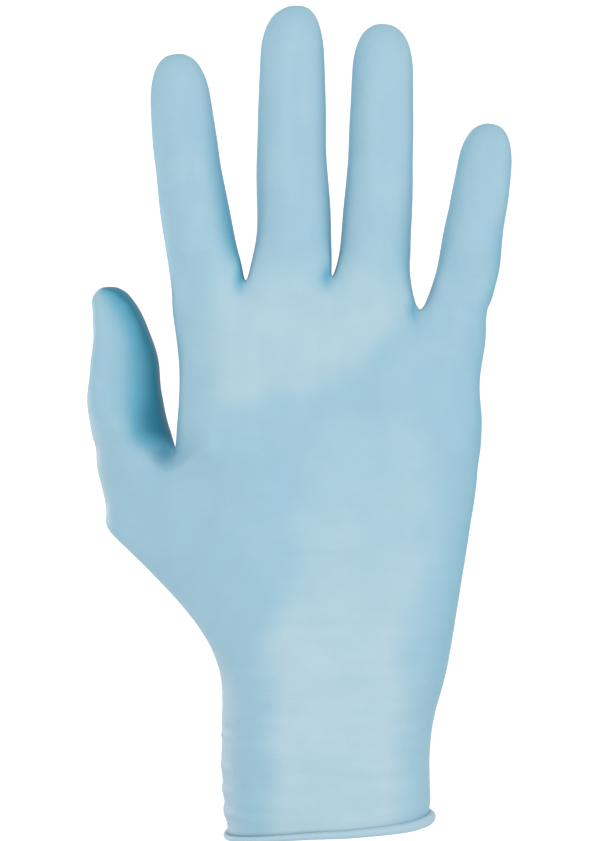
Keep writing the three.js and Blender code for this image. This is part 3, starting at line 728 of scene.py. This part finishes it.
class GloveFilmSettings(bpy.types.PropertyGroup):
    wall: bpy.props.FloatProperty(
        name="Wall", description="Thickness of the dipped film", default=0.00035, min=0.0001, unit="LENGTH"
    )
    relaxed: bpy.props.FloatVectorProperty(
        name="Relaxed", description="Colour of film that is drawn a little", size=3, subtype="COLOR",
        default=(0.345, 0.573, 0.692), min=0, max=1,
    )
    # Paler film, partly stretched thin and partly painted light.
    stretched_and_lit: bpy.props.FloatVectorProperty(
        name="Stretched_lit", description="Colour of film that is drawn thin", size=3, subtype="COLOR",
        default=(0.48, 0.658, 0.737), min=0, max=1,
    )
    # Painted shade, the lighter step.
    in_painted_shade: bpy.props.FloatVectorProperty(
        name="Shading", description="Colour of film that lies slack", size=3, subtype="COLOR",
        default=(0.13, 0.43, 0.59), min=0, max=1,
    )
    # Painted shade, the darkest step, on the thumb's side towards the palm.
    darkest_painted_shade: bpy.props.FloatVectorProperty(
        name="Shadow", description="Colour in the fold beside the thumb", size=3, subtype="COLOR",
        default=(0.035, 0.25, 0.36), min=0, max=1,
    )
    # Painted rim highlight at the thumb's side.
    dusty: bpy.props.FloatVectorProperty(
        name="Highlight", description="Colour of the pale edge at the thumb's side", size=3, subtype="COLOR",
        default=(0.47, 0.575, 0.65), min=0, max=1,
    )


class GloveBeadSettings(bpy.types.PropertyGroup):
    thick: bpy.props.FloatProperty(
        name="Thick side", description="Diameter of the roll at the little finger's side",
        default=0.0031, min=0.0005, unit="LENGTH",
    )
    thin: bpy.props.FloatProperty(
        name="Thin side", description="Diameter of the roll at the thumb's side",
        default=0.0016, min=0.0005, unit="LENGTH",
    )


class GloveStageSettings(bpy.types.PropertyGroup):
    key: bpy.props.FloatProperty(
        name="Key light", description="Power of the soft light in front", default=4.6, unit="POWER"
    )
    fill: bpy.props.FloatProperty(
        name="Fill light", description="Power of the light at the right", default=5.6, unit="POWER"
    )
    rim: bpy.props.FloatProperty(
        name="Rim light", description="Power of the light behind", default=4, unit="POWER"
    )
    around: bpy.props.FloatProperty(
        name="Sky", description="Strength of the even light from above", default=0.62, min=0
    )
    glow: bpy.props.FloatProperty(
        name="Glow", description="Share of the floor's own light that reaches the glove",
        default=0.29, min=0, max=1,
    )


class GLOVE_OT_film(bpy.types.Operator):
    """Makes the thin dipped film from the solid one, with its folds and its colour"""

    bl_idname = "glove.film"
    bl_label = "Dipped film"

    def execute(self, context):
        settings = context.scene.glove_film
        skin = finer_outside()
        round_off(skin)
        crease(skin)
        paint_masks(skin)
        skin.data.materials.append(nitrile_material("Nitrile film", settings))
        rim_loop(skin)
        bpy.ops.mesh.extrude_edges_move(TRANSFORM_OT_translate={"value": (0, 0, -FILM_TUCK)})
        bpy.ops.object.mode_set(mode="OBJECT")
        inward = {"offset": -1, "use_even_offset": False, "use_quality_normals": True}
        apply(skin, "SOLIDIFY", thickness=settings.wall, **inward)
        only(skin)
        bpy.ops.object.shade_smooth()
        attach(skin, "root")
        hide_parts(FILM_NODE)
        return {"FINISHED"}


class GLOVE_OT_bead(bpy.types.Operator):
    """Rolls the edge of the cuff into a bead, thick at one side and thin at the other"""

    bl_idname = "glove.bead"
    bl_label = "Rolled bead"

    def execute(self, context):
        bead = rolled_bead(context.scene.glove_bead)
        bead.data.materials.clear()
        bead.data.materials.append(nitrile_material("Nitrile roll", context.scene.glove_film, masks=False))
        only(bead)
        bpy.ops.object.shade_smooth()
        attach(bead, "root")
        return {"FINISHED"}


class GLOVE_OT_stage(bpy.types.Operator):
    """Makes the pale floor that rises to a round wall, the lights and the camera"""

    bl_idname = "glove.stage"
    bl_label = "Studio"

    def execute(self, context):
        settings = context.scene.glove_stage
        stage_floor(settings.glow)
        for name, (place, size) in LIGHTS.items():
            soft_light(name + "_light", place, size, getattr(settings, name))
        world = bpy.data.worlds.new("studio")
        world.use_nodes = True
        background = world.node_tree.nodes["Background"]
        background.inputs["Color"].default_value = SKY
        background.inputs["Strength"].default_value = settings.around
        context.scene.world = world
        context.scene.view_settings.view_transform = "Standard"
        camera_like_the_photograph()
        return {"FINISHED"}


def stage_floor(glow):
    """A bowl whose flat bottom is the floor and whose side is the backdrop."""
    bpy.ops.object.select_all(action="DESELECT")
    flat = WALL_AWAY - WALL_CURVE
    middle = (0, 0, FLOOR_LOW)
    bpy.ops.mesh.primitive_circle_add(vertices=FLOOR_CORNERS, radius=flat, fill_type="NGON", location=middle)
    floor = bpy.context.object
    floor.name = "pale_floor"
    bpy.ops.object.mode_set(mode="EDIT")
    bpy.ops.mesh.select_all(action="SELECT")
    bpy.ops.mesh.select_mode(type="EDGE")
    last = (flat, 0.0)
    for n in range(1, CURVE_STEPS + 1):
        turn = math.pi / 2 * n / CURVE_STEPS
        now = (flat + WALL_CURVE * math.sin(turn), WALL_CURVE * (1 - math.cos(turn)))
        bpy.ops.mesh.extrude_edges_move()
        grow = now[0] / last[0]
        bpy.ops.transform.resize(value=(grow, grow, 1))
        bpy.ops.transform.translate(value=(0, 0, now[1] - last[1]))
        last = now
    bpy.ops.mesh.extrude_edges_move()
    bpy.ops.transform.translate(value=(0, 0, WALL_HIGH))
    bpy.ops.mesh.select_all(action="SELECT")
    bpy.ops.mesh.normals_make_consistent(inside=True)
    bpy.ops.object.mode_set(mode="OBJECT")
    only(floor)
    bpy.ops.object.transform_apply(location=True, rotation=True, scale=True)
    bpy.ops.object.shade_smooth()
    floor.data.materials.append(floor_material(glow))


def mix_shaders(nodes, links, share, first, second):
    """The first shader where the share is nought, and the second where it is one."""
    mix = nodes.new("ShaderNodeMixShader")
    for socket, value in zip(mix.inputs, (share, first, second)):
        links.new(value, socket)
    return mix.outputs["Shader"]


def floor_material(glow):
    """Pale and softly shining; from underneath it lets the view through."""
    material, nodes, links, output = new_material("Pale floor")
    matt = add(nodes, "ShaderNodeBsdfPrincipled", {"Base Color": (0.8, 0.8, 0.8, 1), "Roughness": 0.9})
    shine = add(nodes, "ShaderNodeEmission", {"Color": (1, 1, 1, 1), "Strength": 1.25})
    clear = nodes.new("ShaderNodeBsdfTransparent")
    path = nodes.new("ShaderNodeLightPath")
    side = nodes.new("ShaderNodeNewGeometry")
    part = add(nodes, "ShaderNodeMapRange", {"To Min": glow, "To Max": 0.85})
    links.new(path.outputs["Is Camera Ray"], part.inputs["Value"])
    lit = mix_shaders(nodes, links, part.outputs["Result"], matt.outputs["BSDF"], shine.outputs["Emission"])
    seen = mix_shaders(nodes, links, side.outputs["Backfacing"], lit, clear.outputs["BSDF"])
    links.new(seen, output.inputs["Surface"])
    return material


def soft_light(name, place, size, power):
    bpy.ops.object.select_all(action="DESELECT")
    bpy.ops.object.light_add(type="AREA", location=place)
    light = bpy.context.object
    light.name = name
    light.data.shape = "SQUARE"
    light.data.size = size
    light.data.energy = power
    light.rotation_euler = (AIM - Vector(place)).to_track_quat("-Z", "Y").to_euler()


def camera_like_the_photograph():
    """A camera in front of the glove's back, level with its middle, that sees what the photograph shows."""
    bpy.ops.object.camera_add(location=(CAMERA_X, -CAMERA_AWAY, CAMERA_Z), rotation=(math.pi / 2, 0, 0))
    camera = bpy.context.object
    camera.name = "camera"
    high = IMAGE_HIGH * MM_PER_PIXEL * MM
    camera.data.sensor_width = SENSOR
    camera.data.lens = SENSOR * CAMERA_AWAY / high
    camera.data.clip_start = 0.01
    camera.data.clip_end = 20
    bpy.context.scene.camera = camera


class GLOVE_PT_panel(bpy.types.Panel):
    """Lists the glove's pieces and their settings"""

    bl_label = "Exam glove"
    bl_idname = "GLOVE_PT_panel"
    bl_space_type = "VIEW_3D"
    bl_region_type = "UI"
    bl_category = "Glove"

    def draw(self, context):
        for settings, operator in PANEL_ROWS:
            box = self.layout.box()
            box.operator(operator)
            group = getattr(context.scene, settings)
            for name in group.__annotations__:
                box.prop(group, name)


SETTINGS = {
    "glove_film": GloveFilmSettings,
    "glove_bead": GloveBeadSettings,
    "glove_stage": GloveStageSettings,
}
PANEL_ROWS = (("glove_film", "glove.film"), ("glove_bead", "glove.bead"), ("glove_stage", "glove.stage"))
CLASSES = (*SETTINGS.values(), GLOVE_OT_film, GLOVE_OT_bead, GLOVE_OT_stage, GLOVE_PT_panel)


def register():
    for kind in CLASSES:
        bpy.utils.register_class(kind)
    for name, kind in SETTINGS.items():
        setattr(bpy.types.Scene, name, bpy.props.PointerProperty(type=kind))


def unregister():
    for name in SETTINGS:
        delattr(bpy.types.Scene, name)
    for kind in reversed(CLASSES):
        bpy.utils.unregister_class(kind)


def main():
    register()
    bpy.ops.glove.film()
    bpy.ops.glove.bead()
    bpy.ops.glove.stage()


if __name__ == "__main__":
    main()
